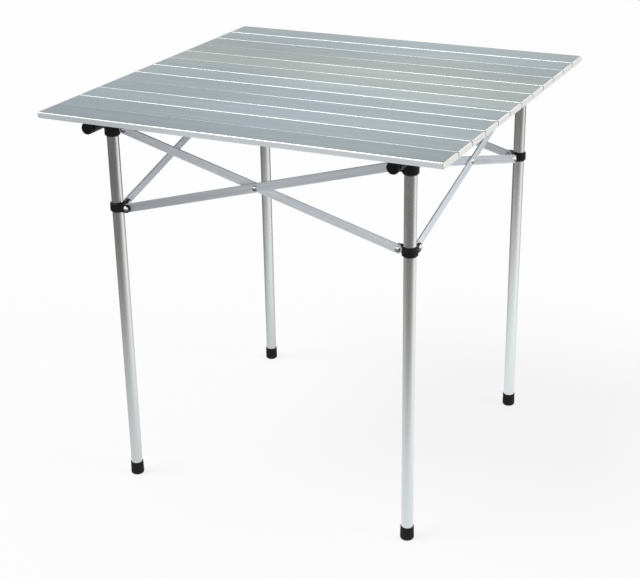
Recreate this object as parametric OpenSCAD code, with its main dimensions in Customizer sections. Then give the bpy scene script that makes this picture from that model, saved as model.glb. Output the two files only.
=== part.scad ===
// Roll top camp table: a slatted aluminium top that rolls up, on two rails and a
// folding frame of four legs joined by crossed bars with sliding collars.
// The origin is on the floor, under the middle of the top. +X is right, +Y is the rear.

/* [Table] */
// Width of the top, along the slats
table_w = 700; // [600:5:900]
// Depth of the top, across the slats
table_d = 700; // [600:5:900]
// Height of the top surface above the floor
table_h = 690; // [560:5:760]

/* [Slats] */
// Number of slats in the top
slat_count = 12; // [10:1:12]
// Thickness of a slat
slat_t = 10; // [9:0.5:14]
// Gap between two slats
slat_gap = 0.8; // [0.5:0.1:2]
// Wall of the slat extrusion
slat_wall = 0.9; // [0.8:0.1:1.5]
// Radius of the long upper edges of a slat
slat_top_r = 1.7; // [1.2:0.1:3]
// Radius of the long lower edges of a slat
slat_low_r = 1.5; // [1:0.1:2]
// Radius in the corners of the hollow cells
cell_r = 1.2; // [0.8:0.1:1.5]
// Number of hollow cells across a slat
cell_count = 3; // [3:2:5]

/* [End plugs] */
// Thickness of the flange that covers the end of a slat
plug_flange = 3; // [2:0.5:5]
// How far the plug reaches into the slat
plug_reach = 14; // [8:1:30]
// Step of the flange inside the outline of the slat
plug_step = 0.5; // [0.1:0.1:0.8]
// Radius in the corners of the flange
plug_r = 3; // [1:0.5:4]
// Play of the plug in the cells
plug_play = 0.1; // [0.05:0.05:0.2]

/* [Shock cords] */
// Diameter of a cord
cord_d = 4; // [3:0.5:5]
// Distance of a cord from the middle of the table
cord_x = 200; // [120:5:250]
// Play of the cord in its holes
cord_play = 0.5; // [0.3:0.1:1]
// Diameter of the stop at the end of a cord
stop_d = 6.6; // [5.5:0.1:7]
// Length of the stop
stop_l = 8; // [5:1:12]

/* [Legs] */
// Outer diameter of a leg
leg_d = 20; // [18:0.5:22]
// Wall of a leg
leg_wall = 1.2; // [0.8:0.1:2]
// Distance from the edge of the top to the axis of a leg
leg_inset = 85; // [70:1:110]
// Play between a tube and what is pressed on or into it
seat_play = 0.05; // [0.03:0.01:0.1]

/* [Feet] */
// Wall of a foot at its mouth
foot_wall = 1.3; // [0.8:0.1:2.5]
// How far a foot flares out from its mouth to its widest place
foot_flare = 0.4; // [0.2:0.1:1.5]
// Height of a foot
foot_h = 24; // [16:1:40]
// Rubber under the end of the leg
foot_sole = 4.5; // [3:0.5:8]
// Radius of the lower edge of a foot
foot_edge = 4; // [2:0.5:4.5]

/* [Rails] */
// Outer diameter of a rail
rail_d = 20.5; // [16:0.5:21]
// Wall of a rail
rail_wall = 1.2; // [0.8:0.1:2]
// Width of the flat ridge along the top of a rail
ridge_w = 9; // [5:0.5:12]
// Height of the ridge above the round of the rail
ridge_h = 1.5; // [0.8:0.1:4]
// Distance from the edge of the top to the end of a rail
rail_inset = 13; // [8:1:30]
// Thickness of the cap flange
cap_flange = 5; // [3:0.5:8]
// Edge radius of the cap
cap_edge = 2.5; // [1:0.5:3]
// Length of the groove behind the cap flange
cap_neck = 5; // [3:0.5:8]
// Diameter of the cap in its groove
neck_d = 14; // [10:0.5:15]
// Thickness of the cap rim that meets the end of the rail
cap_rim = 1.5; // [1:0.25:3]
// How far the cap reaches into the rail
cap_reach = 18; // [10:1:30]
// Clearance of a rail under the slats and in the heads
rail_play = 0.3; // [0.2:0.05:0.6]

/* [Heads and collars] */
// Diameter of a head and of a collar
head_d = 26; // [25:0.5:32]
// Length of leg held by a head
head_grip = 16; // [12:1:24]
// Plastic between the top of the leg and the rail
head_floor = 4; // [3:0.5:6]
// How far the horns of the head rise beside the middle of the rail
horn_rise = 4; // [2:0.5:7]
// Height of a collar
collar_h = 17; // [15:0.5:26]
// Chamfer on the round edges of a head and of a collar
head_chamfer = 2.5; // [1:0.5:3]
// Chamfer on the top edge of the horns
horn_chamfer = 1; // [0.5:0.25:2]
// Play of a collar on its leg
collar_play = 0.3; // [0.2:0.05:0.5]
// Clearance between a head or a collar and the end of a bar
pivot_play = 0.5; // [0.4:0.1:4]
// Radius of the round end of a lug
lug_r = 7; // [6:0.25:8]
// Thickness of a lug
lug_t = 4; // [3:0.25:5]
// Clearance between a lug and the bar beside it
lug_play = 0.3; // [0.2:0.05:0.5]

/* [Bars] */
// Height of a bar
bar_h = 15; // [11:0.5:16]
// Thickness of a bar
bar_t = 4; // [3.6:0.2:6]
// Radius of the long edges of a bar
bar_r = 1.5; // [1.3:0.1:1.9]
// Wall of a bar
bar_wall = 1; // [0.7:0.1:1.3]
// Drop from the pivot in a head to the pivot in a collar
brace_drop = 135; // [100:1:180]
// Clearance between a rail and the bars under it
brace_play = 1; // [0.6:0.1:3]
// Clearance between two crossing bars
cross_play = 0.4; // [0.3:0.05:0.8]

/* [Rivets] */
// Diameter of a rivet
rivet_d = 6; // [4:0.5:7]
// Diameter of the domed head
dome_d = 10; // [8.5:0.5:12]
// Height of the domed head
dome_h = 3; // [2:0.1:4]
// Diameter of the tail
tail_d = 8.5; // [7.5:0.5:11]
// Height of the tail
tail_h = 1.6; // [1:0.1:2.5]
// Play of a rivet in its holes
rivet_play = 0.05; // [0.03:0.01:0.09]
// Clearance between the head or tail of a rivet and the part that turns against it
rivet_gap = 0.2; // [0.1:0.05:0.4]

/* [Hidden] */
$fn = 64;
CORNERS = ["front_left", "front_right", "rear_right", "rear_left"];
SIDES = ["front", "right", "rear", "left"];
RAILS = ["left", "right"];

// Names of the nodes
function slat_name(i) = str("slat_", i < 9 ? "0" : "", i + 1);
LEG_NODES = [for (c = CORNERS) each [str(c, "_leg"), str(c, "_foot"), str(c, "_head"), str(c, "_collar")]];
BAR_NODES = [for (s = SIDES) each [str(s, "_outer_bar"), str(s, "_inner_bar")]];
RIVET_NODES = [for (b = BAR_NODES) str(b, "_rivets")];
SLAT_NODES = [for (i = [0 : slat_count - 1]) each [slat_name(i), str(slat_name(i), "_plugs")]];
TOP_NODES = [for (r = RAILS) each [str(r, "_rail"), str(r, "_shock_cord")]];

// Top
slat_pitch = table_d / slat_count;
slat_w = slat_pitch - slat_gap;
slat_l = table_w - 2 * plug_flange;
slat_z = table_h - slat_t;
cell_h = slat_t - 2 * slat_wall;
cell_w = (slat_w - (cell_count + 1) * slat_wall) / cell_count;
cell_step = cell_w + slat_wall;
middle_cell = slat_wall + floor(cell_count / 2) * cell_step;
cord_z = slat_z + slat_t / 2;
cord_start = -table_d / 2 + slat_gap / 2 + middle_cell + cell_w - stop_l - cord_play;

// Frame
leg_x = table_w / 2 - leg_inset;
leg_y = table_d / 2 - leg_inset;
rail_z = slat_z - rail_play - ridge_h - rail_d / 2;
rail_end = table_d / 2 - rail_inset;
tube_end = rail_end - cap_flange - cap_neck - cap_rim;
saddle_r = rail_d / 2 + rail_play;
leg_top = rail_z - saddle_r - head_floor;
head_low = leg_top - head_grip;
pivot_out = head_d / 2 + pivot_play + bar_h / 2;
foot_mouth_d = leg_d + 2 * foot_wall;
foot_d = foot_mouth_d + 2 * foot_flare;
head_pivot_z = rail_z - rail_d / 2 - brace_play - max(lug_r, bar_h / 2);
collar_pivot_z = head_pivot_z - brace_drop;
cross_z = (head_pivot_z + collar_pivot_z) / 2;
bar_plane = (bar_t + cross_play) / 2;
lug_in = bar_plane + bar_t / 2 + lug_play;
lug_face = bar_t / 2 + lug_play + lug_t + rivet_gap;
rivet_hole_r = rivet_d / 2 + rivet_play;
dome_r = (pow(dome_d / 2, 2) + pow(dome_h, 2)) / (2 * dome_h);

// Place of a corner, half the length of a side between the legs, and its distance outwards
function corner_at(c) = [(c == 0 || c == 3 ? -1 : 1) * leg_x, (c < 2 ? -1 : 1) * leg_y, 0];
function side_half(s) = s % 2 == 0 ? leg_x : leg_y;
function side_out(s) = s % 2 == 0 ? leg_y : leg_x;
function pivot_span(s) = 2 * (side_half(s) - pivot_out);
function bar_length(s) = norm([pivot_span(s), brace_drop]);
function bar_angle(s) = atan2(brace_drop, pivot_span(s));

// Rectangle with round corners, of one radius above and one below
module round_rect(w, h, top_r, low_r) {
    for (side = [0, 1])
        mirror([side, 0])
            translate([side * -w, 0]) {
                translate([top_r, h - top_r])
                    circle(top_r);
                translate([low_r, low_r])
                    circle(low_r);
            }
    translate([0, low_r])
        square([w, h - top_r - low_r]);
    translate([top_r, h - 2 * top_r])
        square([w - 2 * top_r, 2 * top_r]);
    translate([low_r, 0])
        square([w - 2 * low_r, 2 * low_r]);
}

// Shapes of the top

module slat_outline() {
    round_rect(slat_w, slat_t, slat_top_r, slat_low_r);
}

module plug_outline() {
    translate([plug_step, plug_step])
        round_rect(slat_w - 2 * plug_step, slat_t - 2 * plug_step, plug_r, plug_r);
}

module slat_cells(play) {
    for (i = [0 : cell_count - 1])
        translate([slat_wall + i * cell_step + play, slat_wall + play])
            round_rect(cell_w - 2 * play, cell_h - 2 * play, cell_r - play, cell_r - play);
}

// Stands an outline on its lower edge and draws it out along +X, from x on
module along_x(x, length) {
    translate([x, 0, 0])
        rotate([90, 0, 90])
            linear_extrude(length)
                children();
}

module at_slat(i) {
    translate([0, -table_d / 2 + i * slat_pitch + slat_gap / 2, slat_z])
        children();
}

module slat(i) {
    color("silver")
        difference() {
            at_slat(i)
                along_x(-slat_l / 2, slat_l)
                    difference() {
                        slat_outline();
                        slat_cells(0);
                    }
            for (side = [-1, 1])
                cord_run(side, cord_d + 2 * cord_play);
        }
}

module slat_plugs(i) {
    color("ivory")
        at_slat(i)
            for (end = [0, 1])
                mirror([end, 0, 0]) {
                    along_x(slat_l / 2, plug_flange)
                        plug_outline();
                    along_x(slat_l / 2 - plug_reach, plug_reach + plug_flange / 2)
                        slat_cells(plug_play);
                }
}

// Straight run of a cord, from inside the first slat to inside the last
module cord_run(side, diameter) {
    translate([side * cord_x, cord_start, cord_z])
        rotate([-90, 0, 0])
            cylinder(d = diameter, h = -2 * cord_start);
}

module shock_cord(side) {
    color("dimgray") {
        cord_run(side, cord_d);
        for (end = [0, 1])
            mirror([0, end, 0])
                translate([side * cord_x, cord_start, cord_z])
                    rotate([-90, 0, 0])
                        cylinder(d = stop_d, h = stop_l);
    }
}

module rail(side) {
    color("#202020")
        translate([side * leg_x, 0, rail_z])
            rotate([90, 0, 0]) {
                rail_tube();
                for (end = [0, 1])
                    mirror([0, 0, end])
                        rail_cap();
            }
}

// Round tube with a flat ridge along its top, on which the slats lie
module rail_tube() {
    linear_extrude(2 * (tube_end - seat_play), center = true)
        difference() {
            union() {
                circle(d = rail_d);
                translate([-ridge_w / 2, 0])
                    square([ridge_w, rail_d / 2 + ridge_h]);
            }
            circle(d = rail_d - 2 * rail_wall);
        }
}

// Cap in the end of a rail: a flange with a round edge, a groove, a rim and a stub inside the tube
module rail_cap() {
    translate([0, 0, rail_end - cap_flange])
        rotate_extrude() {
            square([rail_d / 2, cap_flange - cap_edge]);
            square([rail_d / 2 - cap_edge, cap_flange]);
            translate([rail_d / 2 - cap_edge, cap_flange - cap_edge])
                intersection() {
                    circle(cap_edge);
                    square(cap_edge);
                }
        }
    translate([0, 0, tube_end + cap_rim / 2])
        cylinder(d = neck_d, h = cap_rim / 2 + cap_neck + cap_flange / 2);
    translate([0, 0, tube_end])
        cylinder(d = rail_d, h = cap_rim);
    translate([0, 0, tube_end - cap_reach])
        cylinder(d = rail_d - 2 * rail_wall - 2 * seat_play, h = cap_reach + cap_rim / 2);
}

// Shapes of the legs

module leg(c) {
    color("silver")
        translate(corner_at(c) + [0, 0, foot_sole])
            difference() {
                cylinder(d = leg_d, h = leg_top - foot_sole);
                translate([0, 0, -leg_wall])
                    cylinder(d = leg_d - 2 * leg_wall, h = leg_top - foot_sole + 2 * leg_wall);
            }
}

module foot(c) {
    color("#1c1c1c")
        translate(corner_at(c))
            difference() {
                union() {
                    rotate_extrude()
                        difference() {
                            union() {
                                square([foot_d / 2 - foot_edge, foot_edge]);
                                translate([foot_d / 2 - foot_edge, foot_edge])
                                    circle(foot_edge);
                            }
                            translate([0, foot_edge])
                                square([foot_d, foot_edge]);
                        }
                    translate([0, 0, foot_edge])
                        cylinder(d1 = foot_d, d2 = foot_mouth_d, h = foot_h - foot_edge);
                }
                translate([0, 0, foot_sole - seat_play])
                    cylinder(d = leg_d + 2 * seat_play, h = foot_h);
            }
}

// Round block with chamfered edges
module round_block(height, low_chamfer, top_chamfer) {
    r = head_d / 2;
    rotate_extrude()
        polygon([
            [0, 0],
            [r - low_chamfer, 0],
            [r, low_chamfer],
            [r, height - top_chamfer],
            [r - top_chamfer, height],
            [0, height]
        ]);
}

// Lug for a bar that leaves along +X, on the side of the bar where y is negative
module lug() {
    translate([0, -lug_in, 0])
        rotate([90, 0, 0])
            linear_extrude(lug_t)
                difference() {
                    union() {
                        translate([0, -lug_r])
                            square([pivot_out, 2 * lug_r]);
                        translate([pivot_out, 0])
                            circle(lug_r);
                    }
                    translate([pivot_out, 0])
                        circle(rivet_hole_r);
                }
}

// The two lugs of a collar, outside the outer bar and inside the inner bar that end there
module collar_lugs(c) {
    rotate([0, 0, 90 * c]) {
        lug();
        rotate([0, 0, 90])
            lug();
    }
}

// The two lugs of a head, which are those of a collar mirrored from side to side of each bar
module head_lugs(c) {
    rotate([0, 0, 90 * c]) {
        mirror([0, 1, 0])
            lug();
        rotate([0, 0, 90])
            mirror([0, 1, 0])
                lug();
    }
}

module head(c) {
    color("#161616")
        translate(corner_at(c))
            difference() {
                union() {
                    translate([0, 0, head_low])
                        round_block(rail_z + horn_rise - head_low, head_chamfer, horn_chamfer);
                    translate([0, 0, head_pivot_z])
                        head_lugs(c);
                }
                translate([0, 0, head_low - head_chamfer])
                    cylinder(d = leg_d + 2 * seat_play, h = head_grip + head_chamfer + seat_play);
                translate([0, 0, rail_z])
                    rotate([90, 0, 0])
                        cylinder(r = saddle_r, h = 2 * head_d, center = true);
                translate([-saddle_r, -head_d, rail_z])
                    cube([2 * saddle_r, 2 * head_d, rail_d]);
            }
}

module collar(c) {
    color("#161616")
        translate(corner_at(c) + [0, 0, collar_pivot_z])
            difference() {
                union() {
                    translate([0, 0, -collar_h / 2])
                        round_block(collar_h, head_chamfer, head_chamfer);
                    collar_lugs(c);
                }
                cylinder(d = leg_d + 2 * collar_play, h = 2 * collar_h, center = true);
            }
}

// Shapes of the crossed bars

// Section of a bar, or of its hollow when it is inset by the wall
module bar_section(inset) {
    r = bar_r - inset;
    translate([inset - bar_t / 2, inset - bar_h / 2])
        round_rect(bar_t - 2 * inset, bar_h - 2 * inset, r, r);
}

// Hollow bar with round ends and three holes
module bar(length) {
    deep = 2 * bar_t;
    color("lightsteelblue")
        difference() {
            intersection() {
                along_x(-length / 2 - bar_h, length + 2 * bar_h)
                    difference() {
                        bar_section(0);
                        bar_section(bar_wall);
                    }
                rotate([90, 0, 0])
                    linear_extrude(deep, center = true) {
                        square([length, 2 * bar_h], center = true);
                        for (end = [-1, 1])
                            translate([end * length / 2, 0])
                                circle(bar_h / 2);
                    }
            }
            for (u = [-length / 2, 0, length / 2])
                translate([u, 0, 0])
                    rotate([90, 0, 0])
                        cylinder(r = rivet_hole_r, h = deep, center = true);
        }
}

// Rivet along -Y: the domed head starts at front, the tail at back, both counted outwards
module rivet(u, front, back) {
    translate([u, 0, 0])
        rotate([90, 0, 0]) {
            intersection() {
                translate([0, 0, front + dome_h - dome_r])
                    sphere(dome_r);
                translate([0, 0, front])
                    cylinder(d = dome_d, h = dome_h);
            }
            translate([0, 0, back])
                cylinder(d = rivet_d, h = front - back);
            translate([0, 0, back - tail_h])
                cylinder(d = tail_d, h = tail_h);
        }
}

// Rivets of an outer bar: one through the lug outside each end, one through the inner bar
module outer_rivets(length) {
    color("gainsboro") {
        for (end = [-1, 1])
            rivet(end * length / 2, lug_face, -bar_t / 2);
        rivet(0, bar_t / 2, -2 * bar_plane - bar_t / 2 - rivet_gap);
    }
}

// Rivets of an inner bar, through the lug inside each end
module inner_rivets(length) {
    color("gainsboro")
        for (end = [-1, 1])
            rivet(end * length / 2, bar_t / 2, -lug_face);
}

// Place of an outer bar: seen from outside the table it rises to the right
module at_outer_bar(s) {
    rotate([0, 0, 90 * s])
        translate([0, -side_out(s) - bar_plane, cross_z])
            rotate([0, -bar_angle(s), 0])
                children();
}

// Place of an inner bar, which falls to the right behind the outer one
module at_inner_bar(s) {
    rotate([0, 0, 90 * s])
        translate([0, -side_out(s) + bar_plane, cross_z])
            rotate([0, bar_angle(s), 0])
                children();
}

for (c = [0 : 3]) {
    leg(c);
    foot(c);
    head(c);
    collar(c);
}
for (s = [0 : 3]) {
    at_outer_bar(s) bar(bar_length(s));
    at_inner_bar(s) bar(bar_length(s));
    at_outer_bar(s) outer_rivets(bar_length(s));
    at_inner_bar(s) inner_rivets(bar_length(s));
}
for (i = [0 : slat_count - 1]) {
    slat(i);
    slat_plugs(i);
}
for (r = [0, 1]) {
    rail(r == 0 ? -1 : 1);
    shock_cord(r == 0 ? -1 : 1);
}
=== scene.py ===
"""Roll top camp table: finishes, shock cords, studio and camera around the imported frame. Metres."""
import math

import bmesh
import bpy
from mathutils import Matrix, Vector


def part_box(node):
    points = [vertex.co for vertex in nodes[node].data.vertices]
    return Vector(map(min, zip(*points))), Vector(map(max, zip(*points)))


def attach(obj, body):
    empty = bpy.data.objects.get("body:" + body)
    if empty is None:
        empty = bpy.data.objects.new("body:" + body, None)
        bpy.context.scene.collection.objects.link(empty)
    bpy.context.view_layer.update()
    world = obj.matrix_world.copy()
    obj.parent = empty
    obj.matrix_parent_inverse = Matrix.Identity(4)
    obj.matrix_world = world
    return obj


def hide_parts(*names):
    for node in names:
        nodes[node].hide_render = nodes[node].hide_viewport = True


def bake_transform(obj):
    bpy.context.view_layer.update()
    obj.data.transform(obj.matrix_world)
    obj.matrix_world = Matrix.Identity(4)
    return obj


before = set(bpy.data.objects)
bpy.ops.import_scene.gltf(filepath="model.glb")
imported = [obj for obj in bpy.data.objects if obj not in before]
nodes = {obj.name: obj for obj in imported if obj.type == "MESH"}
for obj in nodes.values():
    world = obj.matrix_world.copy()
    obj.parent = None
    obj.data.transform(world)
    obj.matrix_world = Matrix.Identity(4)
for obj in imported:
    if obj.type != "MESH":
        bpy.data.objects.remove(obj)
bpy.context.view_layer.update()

# Names of the pieces
SLATS = sorted(n for n in nodes if n.startswith("slat_") and not n.endswith("_plugs"))
PLUGS = [f"{n}_plugs" for n in SLATS]
CORNERS = ("front_left", "front_right", "rear_right", "rear_left")
SIDES = ("front", "right", "rear", "left")
BAR_KINDS = ("outer", "inner")
RAIL_SIDES = ("left", "right")

# Distance from the middle of the table to the front of the first slat
HALF_DEPTH = -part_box(SLATS[0])[0].y

# Range that holds most of a noise texture, and the weight of its fine detail
NOISE = (0.3, 0.7)
NOISE_ROUGHNESS = 0.55

# Density of noise along X, Y and Z, per metre
SLAT_BRUSHING = (2.0, 520.0, 520.0)
SLAT_SCRATCHES = (5.0, 160.0, 160.0)
SLAT_CLOUDS = (2.5, 4.0, 4.0)
LEG_CLOUDS = (30.0, 30.0, 4.0)
BAR_BRUSHING = (4.0, 4.0, 300.0)

# Plain colour and casts of the slats, the painted highlight on the curve of their long edges, and the
# painted light on their uprights
SLAT_PLAIN = (0.32, 0.36, 0.37)
SLAT_BLUE = (0.270, 0.329, 0.360)
SLAT_GREEN = (0.317, 0.364, 0.350)
PAINTED_HIGHLIGHT_CURVE = (0.92, 0.93, 0.94)
PAINTED_LIGHT_UPRIGHT = (0.84, 0.895, 0.915)

# Where the green sets in and fades out from front to rear, its share behind that,
# and how far these borders wander
GREEN_IN = (-0.07, 0.03)
GREEN_OUT = (0.14, 0.24)
GREEN_REAR = 0.25
GREEN_WANDER = 0.35

# Where the green sets in towards the right end, and its share there
GREEN_RIGHT = (0.02, 0.32)
GREEN_FAINT = 0.4

# Line from front to rear along which a painted sheen makes the top brightest, how far beside it the fade
# begins and ends, and the depth of tone before and after the fade
PAINTED_SHEEN_X = 0.09
PAINTED_SHEEN_FADE = (0.05, 0.30)
PAINTED_SHEEN_DEPTH = (1.10, 0.97)

# Stretch from left to right over which the tone rises, from painted shade to painted light, and its
# depth at both ends
PAINTED_SHADE_RISE = (-0.30, 0.10)
PAINTED_SHADE_DEPTH = (0.97, 1.03)

# Steepness of a slat's surface, from 0 on the flat to 1 on the upright, over which its edge begins,
# its curve ends and its metal turns pale, and the depth of the painted shade on an edge without painted
# highlight
EDGE_BEGINS = (0.38, 0.68)
EDGE_UPRIGHT = (0.75, 0.95)
EDGE_PALE = (0.6, 0.95)
PAINTED_EDGE_SHADE = 0.60

# Depth of each slat's tone from the front, partly painted reflection and partly the slat's own
SLAT_TONE_AND_REFLECTION = (0.88, 1.0, 1.10, 1.02, 1.05, 1.13, 1.0, 1.02, 0.92, 0.94, 1.04, 1.02)

# Stretch from left to right over which the painted highlight on the long edges changes
PAINTED_HIGHLIGHT_RUN = (-0.25, 0.25)

# Strength of the painted highlight on each slat's long edges at the left and the right, painted as
# though the slats lay a little uneven. The share is kept within 0 and 1, so a value below 0 keeps the
# edge dull for longer, and one above 1 lights more of its curve
PAINTED_EDGE_HIGHLIGHT = (
    (0.8, 1.6), (-1.0, 0.2), (0.55, 0.5), (0.3, 0.62), (-0.1, 0.62), (0.5, 0.5),
    (0.5, 0.5), (0.12, 0.42), (0.28, 0.55), (-0.1, 0.3), (0.4, 0.15), (0.6, 0.75),
)

# Distances inside the front and rear edges of the top between which the painted shade on the plugs fades
PLUG_UNSHADED = (0.004, 0.002)

# Leg colours above and below, the lower one a cooler, lighter painted reflection, and the heights where
# it fades
LEG_UPPER = (0.80, 0.82, 0.817)
LEG_LOWER_REFLECTION = (0.82, 0.885, 0.895)
LEG_REFLECTION_FADE = (0.12, 0.42)

# Plain black of the mouldings and the rails, and its deepest shade
BLACK = (0.006, 0.006, 0.007)
DEEP_BLACK = (0.005, 0.005, 0.006)

# Heights between which the dust on the feet fades
FOOT_DUST = (0.0, 0.010)

# Painted light and shade along a bar: depth of tone at its left and right end, even unless listed, and
# where it changes
EVEN_ENDS = (1.0, 1.0)
BAR_PAINTED_LIGHT = {
    "front_outer_bar": (0.67, 0.97),
    "front_inner_bar": (1.0, 1.12),
    "right_outer_bar": (1.12, 1.12),
}
BAR_RUN = (-0.22, 0.05)

# Shock cords, the density of their braid per metre, and the crimped stops on their ends
CORD_D = 0.004
BRAID = 900.0
STOP_D = 0.0066
STOP_L = 0.008

# Sides of a round cord or stop, and steps of a cord across the gap between two slats
TUBE_SIDES = 16
GAP_STEPS = 8

# Outline of a stop: shares of its length and of its diameter
STOP_SHAPE = ((0.0, 0.7), (0.1, 1.0), (0.4, 1.0), (0.5, 0.8), (0.6, 1.0), (0.9, 1.0), (1.0, 0.7))

# Camera: width of the photograph and focal length in pixels, sensor in millimetres, angles in degrees
PHOTO_W = 640
FOCAL_PX = 1391.0
SENSOR = 36.0
TARGET = Vector((0.0319, -0.103, 0.350))
AZIMUTH = 25.965
ELEVATION = 22.75
ROLL = -0.94
DISTANCE = 2.420

# Light of the surroundings, and the paper floor with its share of plain white
WHITE = (1.0, 1.0, 1.0)
WORLD_LIGHT = 0.55
FLOOR_HALF = 30.0
FLOOR_GREY = 0.93
FLOOR_WHITE = 0.8

# Painted glow on the floor, seen only by way of metal: an ellipse of painted light that fades to a dim,
# slightly warm end
GLOW_CENTRE = (1.50, 0.54, 0.0)
GLOW_SIZE = (2.34, 1.0, 1.0)
GLOW_FADE = (0.29, 1.58)
GLOW_END = 0.165
FAR_TINT = (1.0, 0.97, 0.93)

# Soft suns: direction that each shines from, strength, and spread in degrees
SUNS = {
    "overhead": ((-0.40, -0.30, 0.87), 1.3, 30.0),
    "side": ((0.90, 0.05, 0.35), 0.8, 25.0),
}


class Shading:
    """Builds the shader nodes of a material or of the world."""

    def __init__(self, owner):
        owner.use_nodes = True
        self.tree = owner.node_tree
        self.place = self.tree.nodes.new("ShaderNodeTexCoord").outputs["Object"]

    def node(self, kind, **settings):
        made = self.tree.nodes.new(kind)
        for key, value in settings.items():
            setattr(made, key, value)
        return made

    def feed(self, socket, value):
        """Links a socket, or sets a plain value."""
        if isinstance(value, bpy.types.NodeSocket):
            self.tree.links.new(value, socket)
        else:
            socket.default_value = value

    def math(self, operation, a, b=0.0, c=0.0):
        made = self.node("ShaderNodeMath", operation=operation)
        for socket, value in zip(made.inputs, (a, b, c)):
            self.feed(socket, value)
        return made.outputs[0]

    def stretch(self, scale, turn=(0.0, 0.0, 0.0)):
        """Rest coordinates turned about the origin, then stretched by one factor per axis."""
        turned = self.node("ShaderNodeMapping", vector_type="TEXTURE")
        self.feed(turned.inputs["Vector"], self.place)
        turned.inputs["Rotation"].default_value = turn
        scaled = self.node("ShaderNodeMapping")
        self.feed(scaled.inputs["Vector"], turned.outputs[0])
        scaled.inputs["Scale"].default_value = scale
        return scaled.outputs[0]

    def noise(self, place, detail=3.0):
        """Noise at a stretched place, between 0 and 1."""
        made = self.node("ShaderNodeTexNoise")
        self.feed(made.inputs["Vector"], place)
        made.inputs["Scale"].default_value = 1.0
        made.inputs["Detail"].default_value = detail
        made.inputs["Roughness"].default_value = NOISE_ROUGHNESS
        return made.outputs["Fac"]

    def cloud(self, density, detail=3.0):
        """Noise that is equally dense along all three axes."""
        return self.noise(self.stretch((density, density, density)), detail)

    def remap(self, value, span, results=(0.0, 1.0)):
        """Smooth change across a span of the value, from the first result to the second."""
        made = self.node("ShaderNodeMapRange", interpolation_type="SMOOTHSTEP")
        limits = zip(("From Min", "From Max", "To Min", "To Max"), (*span, *results))
        for key, number in limits:
            made.inputs[key].default_value = number
        self.feed(made.inputs["Value"], value)
        return made.outputs["Result"]

    def mix(self, share, first, second):
        """Colour between the first, where share is 0, and the second, where it is 1."""
        made = self.node("ShaderNodeMix", data_type="RGBA")
        self.feed(made.inputs["Factor"], share)
        for key, value in (("A", first), ("B", second)):
            colour = value if isinstance(value, bpy.types.NodeSocket) else (*value, 1.0)
            self.feed(made.inputs[key], colour)
        return made.outputs["Result"]

    def scale(self, colour, factor):
        made = self.node("ShaderNodeVectorMath", operation="SCALE")
        self.feed(made.inputs[0], colour)
        self.feed(made.inputs["Scale"], factor)
        return made.outputs[0]

    def parts(self, vector):
        """X, Y and Z of a vector."""
        made = self.node("ShaderNodeSeparateXYZ")
        self.feed(made.inputs[0], vector)
        return made.outputs

    def ray(self, kind):
        """1 for rays of this kind, such as Camera or Glossy."""
        return self.node("ShaderNodeLightPath").outputs[f"Is {kind} Ray"]

    def mirrored(self):
        """1 for rays that come by way of metal or glass."""
        return self.math("MAXIMUM", self.ray("Glossy"), self.ray("Transmission"))


class Look(Shading):
    """A material built from noise in the rest frame."""

    def __init__(self, name, colour, metallic=0.0, roughness=0.5, specular=0.5):
        self.material = bpy.data.materials.new(name)
        super().__init__(self.material)
        self.shader = self.tree.nodes["Principled BSDF"]
        self.colour((*colour, 1.0))
        self.metallic(metallic)
        self.roughness(roughness)
        self.shader.inputs["Specular IOR Level"].default_value = specular

    def colour(self, value):
        self.feed(self.shader.inputs["Base Color"], value)

    def metallic(self, value):
        self.feed(self.shader.inputs["Metallic"], value)

    def roughness(self, value):
        self.feed(self.shader.inputs["Roughness"], value)

    def facing(self):
        """X, Y and Z of the surface's direction in the rest frame."""
        return self.parts(self.node("ShaderNodeTexCoord").outputs["Normal"])

    def bump(self, height, strength, depth):
        made = self.node("ShaderNodeBump")
        made.inputs["Strength"].default_value = strength
        made.inputs["Distance"].default_value = depth
        self.feed(made.inputs["Height"], height)
        self.feed(self.shader.inputs["Normal"], made.outputs[0])


def slat_cast(look, x, y):
    """Bluish in front, greenish behind the middle and, more faintly, towards the right end."""
    broad = look.noise(look.stretch(SLAT_CLOUDS), detail=2.0)
    rearward = look.math("MULTIPLY_ADD", look.math("SUBTRACT", broad, 0.5), GREEN_WANDER, y)
    fading = look.remap(rearward, GREEN_OUT, (1.0, GREEN_REAR))
    band = look.math("MULTIPLY", look.remap(rearward, GREEN_IN), fading)
    green = look.math("MAXIMUM", band, look.remap(x, GREEN_RIGHT, (0.0, GREEN_FAINT)))
    return look.mix(green, SLAT_BLUE, SLAT_GREEN)


def slat_face(look, fine, tone):
    """Colour of a slat's flat: cast, painted sheen along one line, painted shade leftwards, brushing and
    scratches.
    """
    x, y, _ = look.parts(look.place)
    scratch = look.noise(look.stretch(SLAT_SCRATCHES), detail=2.0)
    # Painted sheen: the top is painted lighter along one line from front to rear
    beside = look.math("ABSOLUTE", look.math("SUBTRACT", x, PAINTED_SHEEN_X))
    middle = look.remap(beside, PAINTED_SHEEN_FADE, PAINTED_SHEEN_DEPTH)
    # Painted shade and light: the tone rises from left to right, times the slat's own tone
    tone_and_shade = look.remap(x, PAINTED_SHADE_RISE, [depth * tone for depth in PAINTED_SHADE_DEPTH])
    even = look.math("MULTIPLY", middle, tone_and_shade)
    brushed = look.math("MULTIPLY", even, look.remap(fine, NOISE, (0.88, 1.10)))
    worn = look.math("MULTIPLY", brushed, look.remap(scratch, (0.5, 0.72), (1.0, 1.16)))
    return look.scale(slat_cast(look, x, y), worn)


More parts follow.
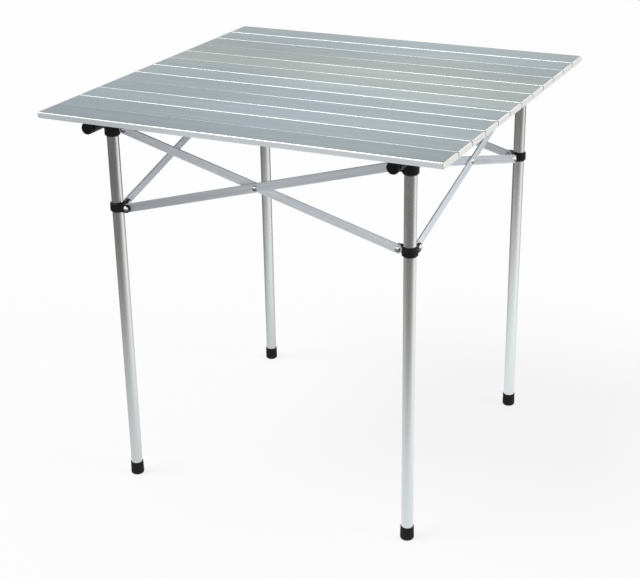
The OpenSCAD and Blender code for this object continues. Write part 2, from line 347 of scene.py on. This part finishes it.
def slat_look(name, tone, painted_highlight):
    """Anodised aluminium, brushed along the slat; its tone, its painted edge highlight and upright light
    are its own.
    """
    look = Look(name, SLAT_PLAIN)
    fine = look.noise(look.stretch(SLAT_BRUSHING), detail=4.0)
    steep = look.math("ABSOLUTE", look.facing()["Y"])
    edge = look.remap(steep, EDGE_BEGINS)
    # Painted shade darkens the long edges; over it a painted highlight lights the curve and painted
    # light the upright
    dull = look.scale(slat_face(look, fine, tone), look.remap(edge, (0.0, 1.0), (1.0, PAINTED_EDGE_SHADE)))
    bright = look.mix(look.remap(steep, EDGE_UPRIGHT), PAINTED_HIGHLIGHT_CURVE, PAINTED_LIGHT_UPRIGHT)
    # Share of the painted highlight, changing from the left end to the right
    highlight_share = look.remap(look.parts(look.place)["X"], PAINTED_HIGHLIGHT_RUN, painted_highlight)
    look.colour(look.mix(look.math("MULTIPLY", edge, highlight_share), dull, bright))
    look.metallic(look.remap(steep, EDGE_PALE, (0.85, 0.35)))
    grain = look.remap(fine, NOISE, (0.30, 0.46))
    look.roughness(look.math("MULTIPLY_ADD", edge, -0.08, grain))
    return look.material


def plug_look():
    """Pale moulded plastic, with painted shade where one plug meets the next."""
    look = Look("plug_plastic", (0.85, 0.85, 0.835), roughness=0.45)
    patchy = look.remap(look.cloud(density=60.0), NOISE)
    pale, grey, gap_shade = (0.90, 0.90, 0.885), (0.80, 0.80, 0.785), (0.10, 0.10, 0.10)
    clean = look.mix(patchy, pale, grey)
    # Painted shade on the faces where one plug meets the next, none on the outer front and rear faces
    reach = look.math("ABSOLUTE", look.parts(look.place)["Y"])
    inner = look.remap(reach, [HALF_DEPTH - depth for depth in PLUG_UNSHADED], (1.0, 0.0))
    joint = look.remap(look.math("ABSOLUTE", look.facing()["Y"]), (0.5, 0.9))
    look.colour(look.mix(look.math("MULTIPLY", joint, inner), clean, gap_shade))
    look.bump(look.cloud(density=900.0), strength=0.1, depth=0.0002)
    return look.material


def leg_look():
    """Bright drawn aluminium tube, smooth, with faint clouds along it and a cooler painted reflection at
    its lower end.
    """
    look = Look("leg_aluminium", LEG_UPPER, metallic=1.0, roughness=0.24)
    cloud = look.noise(look.stretch(LEG_CLOUDS))
    # Painted reflection: the lower end is painted cooler and lighter
    low = look.remap(look.parts(look.place)["Z"], LEG_REFLECTION_FADE, (1.0, 0.0))
    cast = look.mix(low, LEG_UPPER, LEG_LOWER_REFLECTION)
    look.colour(look.scale(cast, look.remap(cloud, NOISE, (0.98, 1.025))))
    look.roughness(look.remap(cloud, NOISE, (0.20, 0.28)))
    return look.material


def bar_look(name, turn, ends):
    """Pale aluminium with a bluish cast, brushed along the bar; ends give the depth of its painted light
    and shade.
    """
    look = Look(name, (0.71, 0.755, 0.815), metallic=0.3, roughness=0.36)
    lines = look.noise(look.stretch(BAR_BRUSHING, turn))
    patchy = look.remap(look.cloud(density=14.0, detail=2.0), NOISE)
    dark, light, bright = (0.655, 0.70, 0.765), (0.72, 0.765, 0.815), (0.76, 0.805, 0.85)
    tone = look.mix(patchy, dark, light)
    face = look.mix(look.remap(lines, (0.35, 0.65)), tone, bright)
    # Painted light and shade: the tone changes from the bar's left end to its right
    look.colour(look.scale(face, look.remap(look.parts(look.place)["X"], BAR_RUN, ends)))
    look.roughness(look.remap(lines, NOISE, (0.30, 0.42)))
    return look.material


def moulded_look():
    """Black glass-filled nylon with a fine moulded grain."""
    look = Look("black_moulding", BLACK, roughness=0.42, specular=0.2)
    cloud = look.cloud(density=45.0)
    patchy = look.remap(cloud, (0.35, 0.7))
    look.colour(look.mix(patchy, DEEP_BLACK, (0.012, 0.012, 0.013)))
    look.roughness(look.remap(cloud, NOISE, (0.34, 0.52)))
    look.bump(look.cloud(density=1400.0, detail=2.0), strength=0.25, depth=0.0002)
    return look.material


def rail_look():
    """Black coated tube with the slight orange peel of the coating."""
    look = Look("black_coating", BLACK, roughness=0.3, specular=0.2)
    peel = look.cloud(density=320.0, detail=2.0)
    look.colour(look.mix(look.remap(peel, NOISE), DEEP_BLACK, (0.010, 0.010, 0.011)))
    look.roughness(look.remap(peel, NOISE, (0.24, 0.38)))
    look.bump(peel, strength=0.12, depth=0.0003)
    return look.material


def rubber_look():
    """Black rubber, dull, with a little dust near the floor."""
    look = Look("foot_rubber", (0.010, 0.010, 0.010), roughness=0.66, specular=0.2)
    speck = look.cloud(density=260.0, detail=4.0)
    low = look.remap(look.parts(look.place)["Z"], FOOT_DUST, (0.5, 0.0))
    dust = look.math("MULTIPLY", low, look.remap(speck, (0.45, 0.7)))
    clean, dusty = (0.009, 0.009, 0.009), (0.06, 0.057, 0.05)
    look.colour(look.mix(dust, clean, dusty))
    look.roughness(look.remap(speck, NOISE, (0.58, 0.78)))
    look.bump(speck, strength=0.2, depth=0.0003)
    return look.material


def rivet_look():
    """Bright plated steel with faint handling marks, and painted shade on the underside of the dome."""
    look = Look("rivet_steel", (0.78, 0.78, 0.79), metallic=1.0, roughness=0.14)
    marks = look.cloud(density=500.0, detail=4.0)
    bright, marked, underside_shade = (0.86, 0.86, 0.87), (0.66, 0.66, 0.67), (0.09, 0.09, 0.10)
    plated = look.mix(look.remap(marks, (0.4, 0.7)), bright, marked)
    # Painted shade: the underside of the dome is painted dark
    under = look.remap(look.facing()["Z"], (-0.40, 0.05), (1.0, 0.0))
    look.colour(look.mix(under, plated, underside_shade))
    look.roughness(look.remap(marks, NOISE, (0.10, 0.20)))
    return look.material


def cord_look():
    """Black elastic cord with a braided sheath, with painted shade in the hollows of the braid."""
    look = Look("cord_braid", (0.02, 0.02, 0.022), roughness=0.8)
    strands = []
    for x_scale in (BRAID, -BRAID):
        wave = look.node("ShaderNodeTexWave", bands_direction="DIAGONAL")
        look.feed(wave.inputs["Vector"], look.stretch((x_scale, BRAID, BRAID)))
        strands.append(wave.outputs["Fac"])
    braid = look.math("MULTIPLY", *strands)
    # Painted shade: the hollows of the braid are darker than its crowns
    shaded_hollow, crown = (0.012, 0.012, 0.013), (0.05, 0.05, 0.055)
    look.colour(look.mix(braid, shaded_hollow, crown))
    look.bump(braid, strength=0.5, depth=0.0003)
    return look.material


def dress(names, material):
    """Gives pieces of the frame their finish."""
    for name in names:
        mesh = nodes[name].data
        mesh.materials.clear()
        mesh.materials.append(material)


def bar_turn(side, kind):
    """Turn that lays the brushing of a bar along its length."""
    low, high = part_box(f"{side}_{kind}_bar")
    along_x = side in ("front", "rear")
    run = (high.x - low.x) if along_x else (high.y - low.y)
    lean = math.atan2(high.z - low.z, run)
    facing = 1.0 if side in ("front", "right") else -1.0
    tilt = lean * facing * (1.0 if kind == "outer" else -1.0)
    return (0.0, -tilt, 0.0) if along_x else (tilt, 0.0, 0.0)


def dress_bars():
    """Gives each bar a finish of its own, brushed along it, with its own painted light and shade."""
    for side in SIDES:
        for kind in BAR_KINDS:
            bar = f"{side}_{kind}_bar"
            ends = BAR_PAINTED_LIGHT.get(bar, EVEN_ENDS)
            dress([bar], bar_look(f"{bar}_aluminium", bar_turn(side, kind), ends))


def link_mesh(name, mesh):
    """Object made from a bmesh, which is used up."""
    data = bpy.data.meshes.new(name)
    mesh.to_mesh(data)
    mesh.free()
    made = bpy.data.objects.new(name, data)
    bpy.context.scene.collection.objects.link(made)
    return made


def tube_mesh(name, points, radii):
    """Closed round tube along +Y through points (x, y, z), one radius for each."""
    mesh = bmesh.new()
    angles = [2 * math.pi * i / TUBE_SIDES for i in range(TUBE_SIDES)]
    rings = []
    for (x, y, z), radius in zip(points, radii):
        places = [(x + radius * math.sin(a), y, z + radius * math.cos(a)) for a in angles]
        rings.append([mesh.verts.new(place) for place in places])
    for first, second in zip(rings, rings[1:]):
        for i in range(TUBE_SIDES):
            j = (i + 1) % TUBE_SIDES
            mesh.faces.new((first[i], second[i], second[j], first[j])).smooth = True
    mesh.faces.new(rings[0])
    mesh.faces.new(rings[-1][::-1])
    bmesh.ops.recalc_face_normals(mesh, faces=mesh.faces)
    return link_mesh(name, mesh)


def cord_line(side):
    """X and Z of a cord, and the Y of its front and rear ends."""
    low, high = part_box(f"{side}_shock_cord")
    return (low.x + high.x) / 2, (low.z + high.z) / 2, low.y, high.y


def cord_length(side, k, material):
    """Cord from slat k to the next, with extra rings where it crosses the gap between them."""
    x, z, front, rear = cord_line(side)
    this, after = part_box(SLATS[k]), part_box(SLATS[k + 1])
    start, end = this[1].y, after[0].y
    first = front if k == 0 else (this[0].y + start) / 2
    last = rear if k == len(SLATS) - 2 else (end + after[1].y) / 2
    across = [start + (end - start) * i / GAP_STEPS for i in range(GAP_STEPS + 1)]
    ys = [first, (first + start) / 2, *across, (end + last) / 2, last]
    piece = tube_mesh(f"{side}_cord_{k + 1:02d}", [(x, y, z) for y in ys], [CORD_D / 2] * len(ys))
    piece.data.materials.append(material)
    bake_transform(piece)
    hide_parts(f"{side}_shock_cord")


def cord_stop(side, at_rear, material):
    """Crimped stop on the end of a cord, inside the first or the last slat."""
    x, z, front, rear = cord_line(side)
    begin = rear - STOP_L if at_rear else front
    points = [(x, begin + share * STOP_L, z) for share, _ in STOP_SHAPE]
    radii = [STOP_D / 2 * width for _, width in STOP_SHAPE]
    piece = tube_mesh(f"{side}_cord_stop_{'rear' if at_rear else 'front'}", points, radii)
    piece.data.materials.append(material)
    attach(piece, f"top_{SLATS[-1 if at_rear else 0]}")


def make_camera():
    """Camera fitted to the photograph."""
    data = bpy.data.cameras.new("camera")
    data.sensor_width = SENSOR
    data.lens = FOCAL_PX / PHOTO_W * SENSOR
    camera = bpy.data.objects.new("camera", data)
    a, e = math.radians(AZIMUTH), math.radians(ELEVATION)
    back = Vector((math.sin(a) * math.cos(e), -math.cos(a) * math.cos(e), math.sin(e)))
    turn = back.to_track_quat("Z", "Y").to_matrix() @ Matrix.Rotation(math.radians(ROLL), 3, "Z")
    camera.matrix_world = Matrix.Translation(TARGET + back * DISTANCE) @ turn.to_4x4()
    bpy.context.scene.collection.objects.link(camera)
    bpy.context.scene.camera = camera


def make_world():
    """White where it is seen or mirrored, and a plain light on everything else."""
    world = bpy.data.worlds.new("studio")
    bpy.context.scene.world = world
    sky = Shading(world)
    seen = sky.math("MAXIMUM", sky.ray("Camera"), sky.mirrored())
    background = sky.tree.nodes["Background"]
    background.inputs["Color"].default_value = (*WHITE, 1.0)
    sky.feed(background.inputs["Strength"], sky.remap(seen, (0.0, 1.0), (WORLD_LIGHT, 1.0)))


def painted_glow(paper):
    """1 on the floor's painted pool of light, fading to its dim end around it."""
    patch = paper.node("ShaderNodeMapping", vector_type="TEXTURE")
    paper.feed(patch.inputs["Vector"], paper.place)
    patch.inputs["Location"].default_value = GLOW_CENTRE
    patch.inputs["Rotation"].default_value = (0.0, 0.0, math.radians(AZIMUTH))
    patch.inputs["Scale"].default_value = GLOW_SIZE
    away = paper.node("ShaderNodeVectorMath", operation="LENGTH")
    paper.feed(away.inputs[0], patch.outputs[0])
    return paper.remap(away.outputs["Value"], GLOW_FADE, (1.0, GLOW_END))


def paper_look():
    """White paper that keeps a soft shadow; in reflections it shows a painted glow that ends in front of
    the table.
    """
    material = bpy.data.materials.new("floor_paper")
    paper = Shading(material)
    paper.tree.nodes.remove(paper.tree.nodes["Principled BSDF"])
    shaded = paper.node("ShaderNodeBsdfDiffuse")
    shaded.inputs["Color"].default_value = (FLOOR_GREY, FLOOR_GREY, FLOOR_GREY, 1.0)
    # Painted glow: in reflections the floor emits its painted pool of light; camera rays see plain white
    bright = paper.math("MAXIMUM", paper.ray("Camera"), painted_glow(paper))
    glow = paper.node("ShaderNodeEmission")
    paper.feed(glow.inputs["Color"], paper.mix(bright, FAR_TINT, WHITE))
    paper.feed(glow.inputs["Strength"], bright)
    plain = paper.math("MULTIPLY", paper.ray("Camera"), FLOOR_WHITE)
    both = paper.node("ShaderNodeMixShader")
    paper.feed(both.inputs["Fac"], paper.math("MAXIMUM", plain, paper.mirrored()))
    paper.feed(both.inputs[1], shaded.outputs[0])
    paper.feed(both.inputs[2], glow.outputs[0])
    paper.feed(paper.tree.nodes["Material Output"].inputs["Surface"], both.outputs[0])
    return material


def make_floor():
    """Wide sheet of paper under the feet."""
    mesh = bmesh.new()
    bmesh.ops.create_grid(mesh, x_segments=1, y_segments=1, size=FLOOR_HALF)
    floor = link_mesh("floor", mesh)
    floor.data.materials.append(paper_look())


def make_sun(name, toward, strength, spread):
    """Soft lamp without distance, shining from the direction given."""
    data = bpy.data.lights.new(name, "SUN")
    data.energy = strength
    data.angle = math.radians(spread)
    lamp = bpy.data.objects.new(name, data)
    lamp.rotation_mode = "QUATERNION"
    lamp.rotation_quaternion = Vector(toward).to_track_quat("Z", "Y")
    bpy.context.scene.collection.objects.link(lamp)


# Finishes of the frame's own pieces
coating = rail_look()
# Each slat's tone is partly painted reflection, and its long edges carry a painted highlight
for slat, tone, painted_highlight in zip(SLATS, SLAT_TONE_AND_REFLECTION, PAINTED_EDGE_HIGHLIGHT):
    dress([slat], slat_look(f"{slat}_aluminium", tone, painted_highlight))
dress(PLUGS, plug_look())
dress([f"{c}_leg" for c in CORNERS], leg_look())
dress([f"{c}_foot" for c in CORNERS], rubber_look())
dress([f"{c}_{part}" for c in CORNERS for part in ("head", "collar")], moulded_look())
dress([f"{r}_rail" for r in RAIL_SIDES], coating)
dress([f"{s}_{kind}_bar_rivets" for s in SIDES for kind in BAR_KINDS], rivet_look())
dress_bars()

# Shock cords: one length from the middle of each slat to the middle of the next, and a stop on each end
braided = cord_look()
for side in RAIL_SIDES:
    for k in range(len(SLATS) - 1):
        cord_length(side, k, braided)
    for at_rear in (False, True):
        cord_stop(side, at_rear, coating)

# Studio
make_camera()
make_world()
make_floor()
for name, settings in SUNS.items():
    make_sun(name, *settings)
bpy.context.scene.view_settings.view_transform = "Standard"
